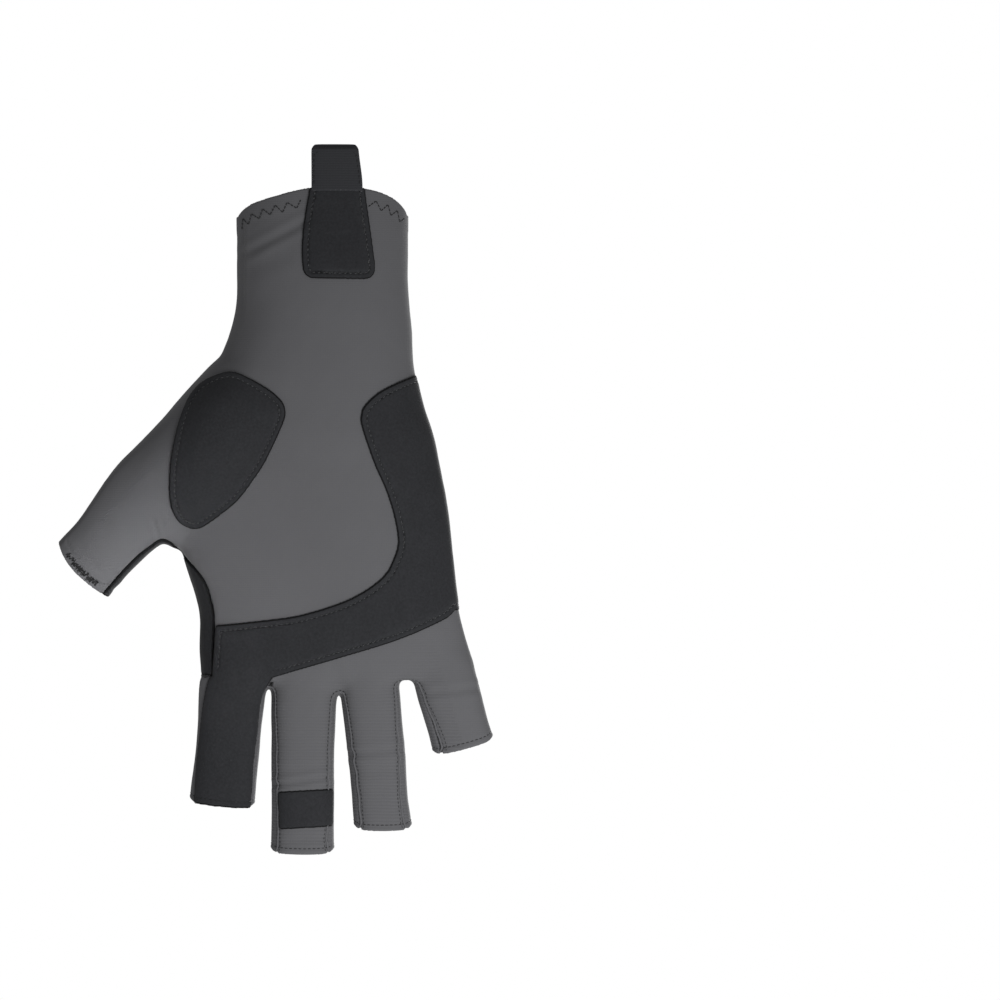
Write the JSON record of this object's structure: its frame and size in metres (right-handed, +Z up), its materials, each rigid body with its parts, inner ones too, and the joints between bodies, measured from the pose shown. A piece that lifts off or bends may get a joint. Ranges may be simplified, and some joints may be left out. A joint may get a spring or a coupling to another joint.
{
  "type": "fishing glove",
  "caption": "Fingerless stretch-knit fishing glove for the right hand, with suede palm and thumb patches, a thumb gusset and a pull loop at the cuff.",
  "frame": {"origin": "middle of the cuff's opening, where the wrist goes in, level with the sides of its rim", "axes": "+Z up the wrist, away from the fingers; the palm faces -Y and the back of the hand +Y; the thumb points to -X"},
  "size_m": [0.1627, 0.0469, 0.2628],
  "materials": {
    "knit": "grey stretch knit, matt, with fine cross ribs",
    "suede": "near-black synthetic suede with a short nap and sewn edges",
    "webbing": "near-black woven tape"
  },
  "bodies": {
    "root": {"palm_panel": "knit", "back_panel": "knit", "side_strip_index_middle": "knit", "side_strip_middle_ring": "knit", "side_strip_ring_little": "knit", "thumb_gusset": "suede", "palm_patch": "suede", "thumb_patch": "suede", "middle_finger_band": "suede", "cuff_tab": "suede", "pull_loop": "webbing"}
  },
  "joints": []
}
